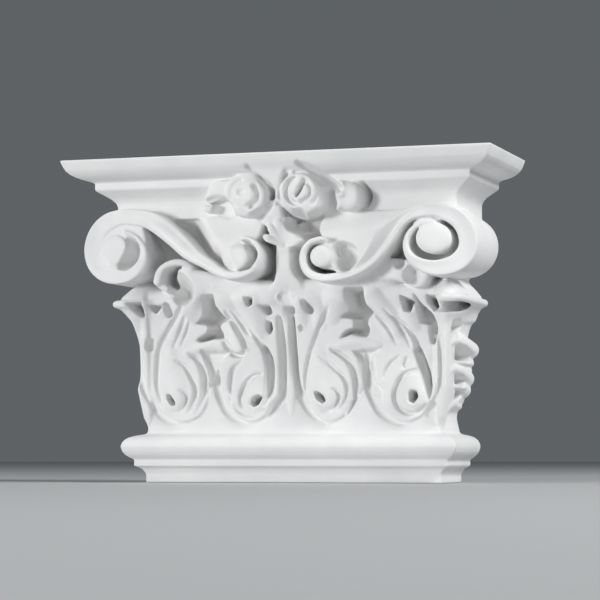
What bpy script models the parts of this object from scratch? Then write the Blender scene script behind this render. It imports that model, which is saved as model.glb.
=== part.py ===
"""Corinthian pilaster capital, cast in one piece of plaster.

Straight front, two short returns and a flat back that lies against the wall.
Metres, +Z up, front towards -Y. The origin is on the underside, half way along
the width and half way between the wall and the front edge of the abacus.
"""

import math

import bmesh
import bpy
from mathutils import Vector

# Sizes of the shaft that the capital crowns
SHAFT_WIDTH = 0.250
SHAFT_DEPTH = 0.063

# Heights of the four zones, from the underside up
BASE_HEIGHT = 0.042
LEAF_HEIGHT = 0.113
VOLUTE_HEIGHT = 0.061
ABACUS_HEIGHT = 0.048

# How far each moulding stands out from the shaft's face
ABACUS_OVERHANG = 0.057
ABACUS_NOSE_DROP = 0.0094
ABACUS_SLOPE = 0.003
CYMA_HEIGHT = 0.0176
FILLET_OVERHANG = 0.0346
FILLET_HEIGHT = 0.0058
OVOLO_SWELL = 0.0015
BAND_OVERHANG = 0.020
BAND_HEIGHT = 0.0114
TORUS_OVERHANG = 0.0178
TORUS_SHOULDER = 0.0034
BASE_FILLET_OVERHANG = 0.0092
BASE_FILLET_HEIGHT = 0.0056
PLINTH_OVERHANG = 0.0015
PLINTH_HEIGHT = 0.0066
PLINTH_COVE_HEIGHT = 0.0070

# The bell behind the carving
BELL_RECESS = 0.008
BELL_WAIST = 0.008

# Leaves
LEAF_RISE = 0.006
LEAF_CROWN = 0.004
EYE_RADIUS = 0.0038
EYE_DEPTH = 0.009
LIP_OVERHANG = 0.024
LIP_HEIGHT = 0.012
LIP_DROP = 0.006
SIDE_LOBE_REACH = 0.018

# Volutes
VOLUTE_RISE = 0.0415
VOLUTE_TURN = math.radians(15)
VOLUTE_RADIUS = 0.0285
VOLUTE_EYE_INSET = 0.0445
VOLUTE_SINK = 0.012
ROLL_TAPER = 0.0022
ROLL_SHIFT = 0.003
INNER_EYE = 0.0345
INNER_RADIUS = 0.0155
INNER_SINK = 0.007
BAND_CROWN = 0.002
SEAT_RISE = 0.020
SEAT_HALF = 0.008
CALYX_RISE = 0.026
CALYX_HALF = 0.0038

# Middle ornament
STEM_WIDTH = 0.012
STEM_RISE = 0.024
PALMETTE_RISE = 0.027
ROSE_RADIUS = 0.0205
ROSE_SPACING = 0.047
ROSE_RISE = 0.053
BUD_RADIUS = 0.0095
LEAFLET_LENGTH = 0.020

# How deep carved pieces run into the body behind them
ROOT = 0.004

# Derived places
HEIGHT = BASE_HEIGHT + LEAF_HEIGHT + VOLUTE_HEIGHT + ABACUS_HEIGHT
DEPTH = SHAFT_DEPTH + ABACUS_OVERHANG
HALF_WIDTH = SHAFT_WIDTH / 2
WALL_Y = DEPTH / 2
LEAF_TOP = BASE_HEIGHT + LEAF_HEIGHT
BAND_BOTTOM = LEAF_TOP + VOLUTE_HEIGHT
PAIR_AXIS = (SHAFT_WIDTH + LEAF_RISE) / 4
VOLUTE_EYE = HALF_WIDTH + ABACUS_OVERHANG - VOLUTE_EYE_INSET
VOLUTE_EYE_Z = LEAF_TOP + VOLUTE_HEIGHT * 0.62
INNER_EYE_Z = LEAF_TOP + VOLUTE_HEIGHT * 0.44


def depth_y(depth):
    """World Y of a point that stands this far out from the wall."""
    return WALL_Y - depth


def face_y(rise):
    """World Y of a point that stands this far out from the shaft's face."""
    return WALL_Y - SHAFT_DEPTH - rise


def smooth_points(points, steps):
    """Points along a smooth curve through the control points."""
    path = []
    last = len(points) - 1
    for index in range(last):
        before = Vector(points[max(index - 1, 0)])
        start = Vector(points[index])
        end = Vector(points[index + 1])
        after = Vector(points[min(index + 2, last)])
        for step in range(steps):
            t = step / steps
            path.append(
                0.5
                * (
                    2 * start
                    + (end - before) * t
                    + (2 * before - 5 * start + 4 * end - after) * t**2
                    + (3 * start - before - 3 * end + after) * t**3
                )
            )
    path.append(Vector(points[last]))
    return path


def loft(name, rings):
    """Closed skin over rings of equally many points, capped at both ends."""
    mesh = bpy.data.meshes.new(name)
    shape = bmesh.new()
    rows = [[shape.verts.new(point) for point in ring] for ring in rings]
    count = len(rings[0])
    for row, following in zip(rows, rows[1:]):
        for i in range(count):
            j = (i + 1) % count
            shape.faces.new((row[i], row[j], following[j], following[i]))
    shape.faces.new(rows[0])
    shape.faces.new(reversed(rows[-1]))
    bmesh.ops.triangulate(shape, faces=shape.faces)
    bmesh.ops.recalc_face_normals(shape, faces=shape.faces)
    shape.to_mesh(mesh)
    shape.free()
    piece = bpy.data.objects.new(name, mesh)
    bpy.context.scene.collection.objects.link(piece)
    return piece


def moulded_body():
    """Mouldings and bell: one profile mitred round the front and both returns."""
    fillet_top = HEIGHT - CYMA_HEIGHT
    fillet_bottom = fillet_top - FILLET_HEIGHT
    band_top = BAND_BOTTOM + BAND_HEIGHT
    base_fillet = PLINTH_HEIGHT + PLINTH_COVE_HEIGHT
    torus_bottom = base_fillet + BASE_FILLET_HEIGHT
    torus_top = BASE_HEIGHT - TORUS_SHOULDER
    nose = (torus_bottom + torus_top) / 2
    profile = [
        (PLINTH_OVERHANG, 0),
        (PLINTH_OVERHANG, PLINTH_HEIGHT),
        (PLINTH_OVERHANG * 0.65 + BASE_FILLET_OVERHANG * 0.35, base_fillet - PLINTH_COVE_HEIGHT * 0.4),
        (BASE_FILLET_OVERHANG, base_fillet),
        (BASE_FILLET_OVERHANG, torus_bottom),
    ]
    reach = TORUS_OVERHANG - BASE_FILLET_OVERHANG
    for step in range(1, 7):
        angle = math.pi * (step / 6 - 0.5)
        across = BASE_FILLET_OVERHANG + reach * math.cos(angle)
        profile.append((across, nose + (torus_top - nose) * math.sin(angle)))
    ovolo_foot = (BAND_OVERHANG + FILLET_OVERHANG) / 2 + OVOLO_SWELL
    profile += [
        (0.0, BASE_HEIGHT),
        (0.0, BASE_HEIGHT + LEAF_HEIGHT * 0.28),
        (-BELL_RECESS, BASE_HEIGHT + LEAF_HEIGHT * 0.50),
        (-BELL_RECESS, LEAF_TOP - LEAF_HEIGHT * 0.05),
        (-BELL_WAIST, LEAF_TOP + VOLUTE_HEIGHT * 0.15),
        (-BELL_WAIST * 0.95, LEAF_TOP + VOLUTE_HEIGHT * 0.45),
        (-BELL_WAIST * 0.45, LEAF_TOP + VOLUTE_HEIGHT * 0.75),
        (BAND_OVERHANG * 0.45, BAND_BOTTOM - VOLUTE_HEIGHT * 0.03),
        (BAND_OVERHANG, BAND_BOTTOM),
        (BAND_OVERHANG, band_top),
        (ovolo_foot, fillet_bottom - (fillet_bottom - band_top) * 0.30),
        (FILLET_OVERHANG, fillet_bottom),
        (FILLET_OVERHANG, fillet_top),
    ]
    nose_z = HEIGHT - ABACUS_NOSE_DROP
    cyma = ABACUS_OVERHANG - ABACUS_SLOPE - FILLET_OVERHANG
    for step in range(1, 5):
        angle = math.pi / 2 * step / 4
        profile.append(
            (
                FILLET_OVERHANG + cyma * math.sin(angle),
                nose_z - (nose_z - fillet_top) * math.cos(angle),
            )
        )
    profile.append((ABACUS_OVERHANG, HEIGHT))
    rings = []
    for rise, height in profile:
        side = HALF_WIDTH + rise
        rings.append(
            [
                (-side, WALL_Y, height),
                (-side, face_y(rise), height),
                (side, face_y(rise), height),
                (side, WALL_Y, height),
            ]
        )
    return loft("body", rings)


def sweep(name, points, back, steps=3, crown=LEAF_CROWN):
    """A carved ridge that follows a path on the front.

    Each control point is (x, z, half width, rise above the shaft's face).
    """
    path = smooth_points(points, steps)
    rings = []
    for index, here in enumerate(path):
        ahead = path[min(index + 1, len(path) - 1)]
        behind = path[max(index - 1, 0)]
        along = Vector((ahead[0] - behind[0], ahead[1] - behind[1])).normalized()
        side = Vector((-along[1], along[0]))
        half, rise = here[2], here[3]
        section = [
            (-half, back),
            (-half, rise - crown),
            (-half * 0.45, rise),
            (half * 0.45, rise),
            (half, rise - crown),
            (half, back),
        ]
        rings.append(
            [
                (here[0] + side[0] * across, face_y(out), here[1] + side[1] * across)
                for across, out in section
            ]
        )
    return loft(name, rings)


def turned(name, centre, profile, back, sides=14):
    """A round boss facing the front; profile is (radius, rise) from rim to middle."""
    rings = []
    rim = [(profile[0][0], back)] + profile
    for radius, rise in rim:
        rings.append(
            [
                (
                    centre[0] + radius * math.cos(2 * math.pi * k / sides),
                    face_y(rise),
                    centre[1] + radius * math.sin(2 * math.pi * k / sides),
                )
                for k in range(sides)
            ]
        )
    return loft(name, rings)


def leaf_place(side, outer, point):
    """Point of the scroll leaf's own net, in shares, to x and z on the front."""
    u, v, half, rise = point
    across = PAIR_AXIS + (u if outer else -u) * PAIR_AXIS
    return (side * across, BASE_HEIGHT + v * LEAF_HEIGHT, half * PAIR_AXIS, rise * LEAF_RISE)


# Strokes of one scroll leaf. Shares of the leaf's width and height from the
# axis of its pair, then half width and rise as shares.
LEAF_PLATE = [
    (0.46, 0.09, 0.20, 0.35),
    (0.46, 0.20, 0.38, 0.35),
    (0.48, 0.38, 0.42, 0.35),
    (0.56, 0.55, 0.34, 0.35),
    (0.55, 0.75, 0.34, 0.35),
    (0.54, 1.00, 0.36, 0.35),
]
LEAF_RIM = [
    (0.82, 0.90, 0.06, 1.0),
    (0.85, 0.66, 0.08, 1.0),
    (0.845, 0.43, 0.08, 1.0),
    (0.79, 0.24, 0.08, 1.0),
    (0.66, 0.135, 0.075, 1.0),
    (0.46, 0.10, 0.07, 1.0),
    (0.25, 0.14, 0.075, 1.0),
    (0.11, 0.27, 0.075, 1.0),
    (0.10, 0.42, 0.075, 1.05),
    (0.20, 0.53, 0.075, 1.1),
    (0.36, 0.60, 0.08, 1.2),
]
LEAF_CRESCENT = [
    (0.42, 0.54, 0.04, 0.9),
    (0.30, 0.46, 0.06, 1.1),
    (0.26, 0.33, 0.06, 1.1),
    (0.32, 0.21, 0.055, 1.0),
    (0.44, 0.17, 0.03, 0.7),
]
LEAF_DROP = [
    (0.66, 0.62, 0.09, 0.9),
    (0.64, 0.48, 0.14, 1.2),
    (0.59, 0.35, 0.20, 1.6),
    (0.55, 0.25, 0.19, 1.7),
    (0.53, 0.17, 0.09, 1.0),
]
LEAF_FROND = [
    (0.62, 0.50, 0.12, 1.0),
    (0.55, 0.66, 0.17, 1.4),
    (0.42, 0.81, 0.19, 1.8),
    (0.32, 0.94, 0.18, 2.1),
    (0.29, 1.01, 0.10, 1.7),
]
LEAF_TONGUE = [
    (0.80, 0.50, 0.07, 0.9),
    (0.80, 0.68, 0.12, 1.3),
    (0.78, 0.84, 0.13, 1.7),
    (0.80, 0.95, 0.06, 1.9),
]
LEAF_LOBE = [
    (0.50, 0.70, 0.08, 1.3),
    (0.34, 0.755, 0.09, 1.5),
    (0.17, 0.77, 0.06, 1.2),
]
LEAF_LOWER_LOBE = [
    (0.52, 0.60, 0.08, 1.1),
    (0.34, 0.655, 0.08, 1.4),
    (0.16, 0.655, 0.07, 1.3),
    (-0.02, 0.66, 0.07, 1.2),
]
LEAF_STROKES = [
    LEAF_PLATE,
    LEAF_RIM,
    LEAF_CRESCENT,
    LEAF_DROP,
    LEAF_FROND,
    LEAF_TONGUE,
    LEAF_LOBE,
    LEAF_LOWER_LOBE,
]
LEAF_EYE = (0.60, 0.235)


def scroll_leaves():
    """Four scroll leaves in two mirrored pairs, and the ribs between them."""
    back = -BELL_RECESS - ROOT
    pieces = []
    for side in (-1, 1):
        for outer in (False, True):
            for points in LEAF_STROKES:
                placed = [leaf_place(side, outer, point) for point in points]
                pieces.append(sweep("leaf", placed, back, 2))
    ribs = ((-1, LEAF_RISE * 1.25), (0, LEAF_RISE), (1, LEAF_RISE * 1.25))
    stroke = ((0.10, 0.02, 0.4), (0.3, 0.05, 0.9), (0.7, 0.05, 1.0), (0.96, 0.05, 1.1))
    for side, rib in ribs:
        points = [
            (
                side * (HALF_WIDTH + LEAF_RISE * (share - 0.4)),
                BASE_HEIGHT + LEAF_HEIGHT * share,
                PAIR_AXIS * half,
                rib * rise,
            )
            for share, half, rise in stroke
        ]
        pieces.append(sweep("rib", points, back, 2, LEAF_CROWN * 0.6))
    return pieces


def eye_cutters():
    """Drilled eye of each scroll leaf."""
    cutters = []
    for side in (-1, 1):
        for outer in (False, True):
            x, z, _, _ = leaf_place(side, outer, (*LEAF_EYE, 0, 0))
            top = LEAF_RISE * 1.7
            profile = [
                (EYE_RADIUS, top + EYE_DEPTH),
                (EYE_RADIUS, top - EYE_DEPTH * 0.4),
                (EYE_RADIUS * 0.5, top - EYE_DEPTH),
            ]
            cutters.append(turned("eye", (x, z), profile, top + EYE_DEPTH * 1.2, 8))
    return cutters


def volute_front(x):
    """Rise of the scroll's face: the outer volutes turn away from the middle."""
    inner = VOLUTE_EYE - VOLUTE_RADIUS
    if abs(x) <= inner:
        return VOLUTE_RISE
    return VOLUTE_RISE - (abs(x) - inner) * math.tan(VOLUTE_TURN)


# Coil of a volute in from its boss and once round, then the S down to the small
# curl. Coil and curl: across and up from the eye and half width, as shares of the
# radius. Sweep: share of the way out from the curl's eye, share of the zone's
# height, half width as a share of the volute's radius.
VOLUTE_COIL = [
    (-0.16, 0.46, 0.05),
    (-0.55, 0.36, 0.06),
    (-0.86, -0.06, 0.08),
    (-0.62, -0.56, 0.13),
    (-0.02, -0.80, 0.20),
    (0.60, -0.60, 0.24),
    (0.84, 0.02, 0.26),
    (0.58, 0.60, 0.26),
    (-0.04, 0.76, 0.25),
]
SCROLL_SWEEP = [
    (0.72, 0.935, 0.26),
    (0.60, 0.82, 0.26),
    (0.493, 0.615, 0.25),
    (0.41, 0.459, 0.21),
    (0.298, 0.328, 0.17),
    (0.205, 0.213, 0.15),
]
CURL_COIL = [
    (0.75, -1.05, 0.25),
    (-0.20, -1.05, 0.22),
    (-0.88, -0.50, 0.20),
    (-0.98, 0.30, 0.17),
    (-0.40, 0.90, 0.15),
    (0.30, 0.95, 0.13),
]


def scroll(side):
    """S scroll from the corner volute down to the small curl beside the stem."""
    r = VOLUTE_RADIUS
    points = [(VOLUTE_EYE + u * r, VOLUTE_EYE_Z + v * r, half * r) for u, v, half in VOLUTE_COIL]
    span = VOLUTE_EYE - INNER_EYE
    points += [(INNER_EYE + span * u, LEAF_TOP + VOLUTE_HEIGHT * v, half * r) for u, v, half in SCROLL_SWEEP]
    s = INNER_RADIUS
    points += [(INNER_EYE + u * s, INNER_EYE_Z + v * s, half * s) for u, v, half in CURL_COIL]
    placed = [(side * x, z, half, volute_front(x)) for x, z, half in points]
    return sweep("scroll", placed, -BELL_WAIST - ROOT, 3, BAND_CROWN)


def volute_roll(side):
    """Rolled body of a volute, a little slimmer at the wall than at its face."""
    sides = 22
    rings = []
    for to_wall in (True, False):
        ring = []
        radius = VOLUTE_RADIUS - (ROLL_TAPER if to_wall else 0.0)
        centre = VOLUTE_EYE - (ROLL_SHIFT if to_wall else 0.0)
        for k in range(sides):
            angle = 2 * math.pi * k / sides
            x = centre + radius * math.cos(angle)
            y = WALL_Y if to_wall else face_y(volute_front(x) - VOLUTE_SINK)
            ring.append((side * x, y, VOLUTE_EYE_Z + radius * 0.97 * math.sin(angle)))
        rings.append(ring)
    return loft("roll", rings)


def volutes():
    """Two S scrolls with their rolls and round bosses."""
    back = -BELL_WAIST - ROOT
    face = volute_front(VOLUTE_EYE)
    curl_face = VOLUTE_RISE - INNER_SINK
    boss = [(0.46, -0.25), (0.42, 0.0), (0.24, 0.06)]
    boss = [(u * VOLUTE_RADIUS, face + v * VOLUTE_SINK) for u, v in boss]
    disc = [(0.95, -0.3), (0.85, 0.0)]
    disc = [(u * INNER_RADIUS, curl_face + v * INNER_SINK) for u, v in disc]
    knob = [(0.58, 0.0), (0.55, 0.6), (0.40, 0.9), (0.2, 1.0)]
    knob = [(u * INNER_RADIUS, curl_face + v * INNER_SINK) for u, v in knob]
    pieces = []
    for side in (-1, 1):
        pieces.append(scroll(side))
        pieces.append(volute_roll(side))
        pieces.append(turned("boss", (side * VOLUTE_EYE, VOLUTE_EYE_Z), boss, face - 2 * VOLUTE_SINK))
        pieces.append(turned("curl_disc", (side * INNER_EYE, INNER_EYE_Z), disc, back, 16))
        pieces.append(turned("curl_boss", (side * INNER_EYE, INNER_EYE_Z), knob, back, 12))
    return pieces


def middle_ornament():
    """Stem, palmette, two roses and a bud under the abacus."""
    back = -BELL_WAIST - ROOT
    half = STEM_WIDTH / 2
    stem_top = LEAF_TOP + VOLUTE_HEIGHT * 0.72
    fan_foot = LEAF_TOP + VOLUTE_HEIGHT * 0.62
    pieces = [
        sweep(
            "stem",
            [
                (0, LEAF_TOP - VOLUTE_HEIGHT * 0.12, half * 3.0, STEM_RISE * 0.45),
                (0, LEAF_TOP + VOLUTE_HEIGHT * 0.12, half * 1.9, STEM_RISE * 0.8),
                (0, LEAF_TOP + VOLUTE_HEIGHT * 0.4, half * 0.9, STEM_RISE),
                (0, stem_top, half, STEM_RISE),
            ],
            back,
            2,
            BAND_CROWN,
        )
    ]
    ray = ((0.0, 0.4, 0.9), (0.5, 0.62, 1.05), (0.85, 0.68, 1.15), (1.05, 0.3, 0.95))
    for k in range(5):
        angle = math.radians(-62 + 31 * k)
        sin, cos = math.sin(angle), math.cos(angle)
        length = VOLUTE_HEIGHT * (0.37 - 0.08 * abs(k - 2) / 2)
        points = [
            (sin * length * share, fan_foot + cos * length * share, half * width, PALMETTE_RISE * rise)
            for share, width, rise in ray
        ]
        pieces.append(sweep("palmette", points, back, 2, BAND_CROWN))
    rose_z = BAND_BOTTOM + ROSE_RADIUS * 0.78
    rose = [
        (1.0, 0.60),
        (0.98, 0.82),
        (0.80, 0.90),
        (0.70, 0.78),
        (0.66, 0.90),
        (0.46, 0.97),
        (0.36, 0.86),
        (0.30, 0.98),
        (0.12, 1.0),
    ]
    for side, size in ((-1, 0.9), (1, 1.0)):
        profile = [(u * ROSE_RADIUS * size, BAND_OVERHANG + (ROSE_RISE - BAND_OVERHANG) * v) for u, v in rose]
        pieces.append(turned("rose", (side * ROSE_SPACING / 2, rose_z), profile, BAND_OVERHANG - ROOT, 16))
    bud = [(1.0, 0.35), (0.9, 0.55), (0.5, 0.7)]
    bud_x = ROSE_SPACING / 2 + ROSE_RADIUS + BUD_RADIUS * 1.3
    profile = [(u * BUD_RADIUS, BAND_OVERHANG + (ROSE_RISE - BAND_OVERHANG) * v) for u, v in bud]
    pieces.append(turned("bud", (bud_x, rose_z), profile, BAND_OVERHANG - ROOT, 10))
    leaf_x = -(ROSE_SPACING / 2 + ROSE_RADIUS)
    low = BAND_OVERHANG + (ROSE_RISE - BAND_OVERHANG) * 0.3
    shares = ((0.2, 0.1, 0.25, 0.3), (-0.3, 0.05, 0.35, 0.15), (-0.8, -0.25, 0.15, -0.2))
    size = LEAFLET_LENGTH
    leaf = [
        (leaf_x + size * along, rose_z + size * lift, size * wide, low + size * out)
        for along, lift, wide, out in shares
    ]
    pieces.append(sweep("rose_leaf", leaf, BAND_OVERHANG - ROOT, 2))
    tip = [
        (0, rose_z + ROSE_RADIUS * 1.1, STEM_WIDTH, ROSE_RISE * 0.86),
        (0, rose_z + ROSE_RADIUS * 0.2, STEM_WIDTH * 0.8, ROSE_RISE * 0.80),
        (0, BAND_BOTTOM, STEM_WIDTH * 0.65, ROSE_RISE * 0.66),
        (0, BAND_BOTTOM - VOLUTE_HEIGHT * 0.12, STEM_WIDTH * 0.4, ROSE_RISE * 0.5),
    ]
    pieces.append(sweep("rose_tip", tip, back, 2))
    return pieces


def corner_lip(side):
    """Curled top of the corner leaf, from the front round on to the return."""
    section = [
        (-0.5, 1.0),
        (0.1, 1.0),
        (0.5, 0.65),
        (1.0, 0.15),
        (0.96, -0.25),
        (0.62, -0.5),
        (0.36, -1.3),
        (0.22, -2.4),
        (-0.5, -2.4),
    ]
    z = LEAF_TOP - LIP_DROP
    edge = HALF_WIDTH
    front = face_y(0)
    stations = [
        ((edge - LIP_OVERHANG * 1.4, front), (0, -1), 0.45),
        ((edge - LIP_OVERHANG * 0.9, front), (0, -1), 0.62),
        ((edge - LIP_OVERHANG * 0.33, front), (0.35, -0.95), 0.72),
        ((edge, front), (0.707, -0.707), 1.35),
        ((edge, front + LIP_OVERHANG * 0.6), (0.97, -0.2), 0.88),
        ((edge, front + LIP_OVERHANG * 1.3), (1, 0), 0.85),
        ((edge, WALL_Y), (1, 0), 1.0),
    ]
    rings = []
    for (x, y), (nx, ny), size in stations:
        reach = LIP_OVERHANG * size
        rings.append(
            [(side * (x + nx * out * reach), y + ny * out * reach, z + up * LIP_HEIGHT) for out, up in section]
        )
    return loft("corner_lip", rings)


def side_leaf(side):
    """Half leaf with notched lobes on the return, cut off flat by the wall."""
    lobes = 5
    top = LEAF_TOP - 2 * LIP_DROP
    bottom = BASE_HEIGHT + LEAF_HEIGHT * 0.08
    inner = HALF_WIDTH - BELL_RECESS - ROOT
    corner = face_y(0)
    notches = (0.45, 0.75, 1.0, 0.92)
    rings = []
    for k in range(lobes * 4 + 1):
        share = k / (lobes * 4)
        z = bottom + (top - bottom) * share
        droop = LIP_DROP * (k % 4) / 6
        reach = SIDE_LOBE_REACH * (0.15 + 0.85 * share**0.7) * notches[k % 4]
        flush = LEAF_RISE * 1.3 * min(1.0, share * 4)
        rings.append(
            [
                (side * inner, WALL_Y, z),
                (side * inner, corner + SHAFT_DEPTH * 0.10, z),
                (side * (HALF_WIDTH + flush), corner + SHAFT_DEPTH * 0.10, z),
                (side * (HALF_WIDTH + max(flush, reach * 0.9)), WALL_Y - SHAFT_DEPTH * 0.4, z - droop),
                (side * (HALF_WIDTH + max(flush * 0.8, reach)), WALL_Y, z),
            ]
        )
    return loft("side_leaf", rings)


# Rim of the small curled leaf under each volute: shares of the leaf pair's axis
# and of the volute zone's height
CALYX_RIM = [(1.67, 0.16), (1.62, 0.32), (1.46, 0.41), (1.28, 0.39), (1.14, 0.24)]
# Body under the scrolls: shares of half the shaft's width and of the zone's height
SCROLL_SEAT = [(0.92, 0.14), (0.80, 0.24), (0.69, 0.20), (0.56, 0.14), (0.44, 0.05), (0.28, 0.0), (0.0, 0.0)]


def calyx(side):
    """Small curled leaf under each volute."""
    points = [
        (side * PAIR_AXIS * u, LEAF_TOP + VOLUTE_HEIGHT * v, CALYX_HALF, CALYX_RISE) for u, v in CALYX_RIM
    ]
    return sweep("calyx", points, -BELL_WAIST - ROOT, 2, BAND_CROWN)


def scroll_seat(side):
    """Rounded body that carries the foot of each scroll."""
    points = [
        (side * HALF_WIDTH * u, LEAF_TOP + VOLUTE_HEIGHT * v, SEAT_HALF, SEAT_RISE) for u, v in SCROLL_SEAT
    ]
    return sweep("scroll_seat", points, -BELL_WAIST - ROOT, 2)


def leaf_crown():
    """Rounded top edge of the leaf band, which carries the volutes."""
    half = HALF_WIDTH + LEAF_RISE * 0.2
    rises = ((-1, 1.2), (-0.5, 0.6), (0, 1.6), (0.5, 0.6), (1, 1.2))
    points = [(x * half, LEAF_TOP, LEAF_RISE, LEAF_RISE * rise) for x, rise in rises]
    return sweep("leaf_crown", points, -BELL_WAIST - ROOT, 3)


def boolean(target, operation, pieces):
    """Apply a Boolean of many pieces to the target, then remove them.

    Carved pieces share face planes, which the exact solver leaves open here.
    """
    for piece in pieces:
        modifier = target.modifiers.new(operation, "BOOLEAN")
        modifier.operation = operation
        modifier.solver = "MANIFOLD"
        modifier.object = piece
        piece.hide_render = True
        piece.display_type = "WIRE"
        depsgraph = bpy.context.evaluated_depsgraph_get()
        mesh = bpy.data.meshes.new_from_object(target.evaluated_get(depsgraph))
        target.modifiers.clear()
        old = target.data
        target.data = mesh
        bpy.data.meshes.remove(old)
        bpy.data.objects.remove(piece)


def plaster():
    """Matt off-white plaster."""
    material = bpy.data.materials.new("plaster")
    material.use_nodes = True
    shader = material.node_tree.nodes["Principled BSDF"]
    shader.inputs["Base Color"].default_value = (0.82, 0.82, 0.81, 1)
    shader.inputs["Roughness"].default_value = 0.75
    shader.inputs["Metallic"].default_value = 0.0
    return material


def build():
    """Model the capital as one closed solid."""
    for old in list(bpy.data.objects):
        bpy.data.objects.remove(old)
    body = moulded_body()
    carving = scroll_leaves() + volutes() + middle_ornament() + [leaf_crown()]
    for side in (-1, 1):
        carving += [corner_lip(side), side_leaf(side), scroll_seat(side), calyx(side)]
    boolean(body, "UNION", carving)
    boolean(body, "DIFFERENCE", eye_cutters())
    body.name = "capital"
    body.data.name = "capital"
    body.data.materials.clear()
    body.data.materials.append(plaster())


build()
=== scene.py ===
"""Corinthian pilaster capital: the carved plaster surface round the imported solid.

The carving is worked out as a field of distances on a fine lattice, in
millimetres: x along the wall, d out from the wall, z up from the underside.
Strokes, rolls and roses are blended into the moulded body, the surface is
drawn through the field, and the result replaces the plain solid.
"""

import math

import bmesh
import bpy
import numpy as np
from mathutils import Matrix, Vector


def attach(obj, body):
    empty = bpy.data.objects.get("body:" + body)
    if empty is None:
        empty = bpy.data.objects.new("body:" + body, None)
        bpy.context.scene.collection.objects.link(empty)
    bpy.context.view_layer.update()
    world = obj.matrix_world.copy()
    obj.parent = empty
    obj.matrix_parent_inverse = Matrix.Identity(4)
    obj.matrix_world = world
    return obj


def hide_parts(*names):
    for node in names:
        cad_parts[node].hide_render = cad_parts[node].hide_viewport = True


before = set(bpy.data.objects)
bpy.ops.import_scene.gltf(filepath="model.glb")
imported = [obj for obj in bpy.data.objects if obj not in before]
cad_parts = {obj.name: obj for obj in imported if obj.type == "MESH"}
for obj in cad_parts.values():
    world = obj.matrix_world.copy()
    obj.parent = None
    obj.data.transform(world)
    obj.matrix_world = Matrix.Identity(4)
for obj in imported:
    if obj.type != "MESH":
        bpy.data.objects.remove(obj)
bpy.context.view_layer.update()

MM = 0.001
STEP = 0.8
MOST_TRIANGLES = 195000

# Sizes of the capital, as the solid has them
SHAFT_HALF = 125.0
SHAFT_DEPTH = 63.0
HEIGHT = 264.0
DEPTH = 120.0
WALL_Y = DEPTH / 2
BASE_TOP = 42.0
ABACUS_REACH = 57.0

# Depth that most strokes run back to, inside the bell
STROKE_BACK = 46.0
# The section is closed far behind the wall, inside the capital
INNER_END = -200.0

# Mouldings, as (projection from the shaft's face, height)
PROFILE = [
    (1.5, 0),
    (1.5, 6.6),
    (2.2, 8.4),
    (4, 11),
    (6.4, 12.8),
    (9.2, 13.6),
    (9.2, 19.2),
    (11.6, 20.4),
    (14.4, 22.4),
    (16.6, 25.2),
    (17.8, 28.8),
    (17.8, 30.4),
    (17, 33),
    (15.2, 35.4),
    (12.6, 37.2),
    (8.5, 38.6),
    (3, 39.6),
    (0.6, 40.8),
    (0, 43),
    (-4, 60),
    (-8, 90),
    (-8, 150),
    (-8, 172),
    (-7.5, 184),
    (-5, 197),
    (0.5, 207),
    (8, 213.5),
    (12, 215.4),
    (19.5, 216.2),
    (20, 217),
    (20, 227.4),
    (21.2, 230.6),
    (24.2, 233.8),
    (28.8, 236.8),
    (32.4, 239),
    (34.6, 240.6),
    (34.6, 246.4),
    (37.4, 247.6),
    (42.6, 248.9),
    (47, 250.6),
    (50.6, 252.8),
    (53.2, 255.4),
    (54.8, 258.6),
    (ABACUS_REACH, HEIGHT),
    (INNER_END, HEIGHT),
    (INNER_END, 0.0),
]


LATTICE_START = -2.0
LATTICE_MARGIN = 3.0


def lattice():
    """Node positions along x, d and z, a little past the capital on each side."""
    reach = SHAFT_HALF + ABACUS_REACH + LATTICE_MARGIN
    xs = np.arange(-reach, reach + STEP, STEP, dtype=np.float32)
    ds = np.arange(LATTICE_START, DEPTH + LATTICE_MARGIN, STEP, dtype=np.float32)
    zs = np.arange(LATTICE_START, HEIGHT + LATTICE_MARGIN, STEP, dtype=np.float32)
    return xs, ds, zs


XS, DS, ZS = lattice()


def smooth_min(a, b, k):
    """Union of two fields with a fillet of about k."""
    h = np.maximum(k - np.abs(a - b), 0.0) / k
    return np.minimum(a, b) - h * h * (k * 0.25)


def smooth_max(a, b, k):
    """Cut of one field by another with a rounded edge of about k."""
    return -smooth_min(-a, -b, k)


def ramp(values, low, high):
    """Smooth step from 0 at low to 1 at high."""
    t = np.clip((values - low) / (high - low), 0.0, 1.0)
    return t * t * (3.0 - 2.0 * t)


def curve(points, pieces=6):
    """Rows along a smooth curve through the control rows."""
    rows = np.asarray(points, dtype=np.float64)
    if len(rows) < 3:
        return rows
    padded = np.vstack([rows[:1], rows, rows[-1:]])
    t = np.linspace(0.0, 1.0, pieces, endpoint=False)[:, None]
    out = []
    for a, b, c, d in zip(padded, padded[1:], padded[2:], padded[3:]):
        out.append(
            0.5
            * (
                2.0 * b
                + (c - a) * t
                + (2.0 * a - 5.0 * b + 4.0 * c - d) * t**2
                + (3.0 * b - a - 3.0 * c + d) * t**3
            )
        )
    out.append(rows[-1:])
    return np.vstack(out)


def window(axis, low, high):
    """Index range of the nodes of one axis between two places."""
    first = int(np.searchsorted(axis, low))
    last = int(np.searchsorted(axis, high))
    return slice(max(first - 1, 0), min(last + 1, len(axis)))


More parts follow.
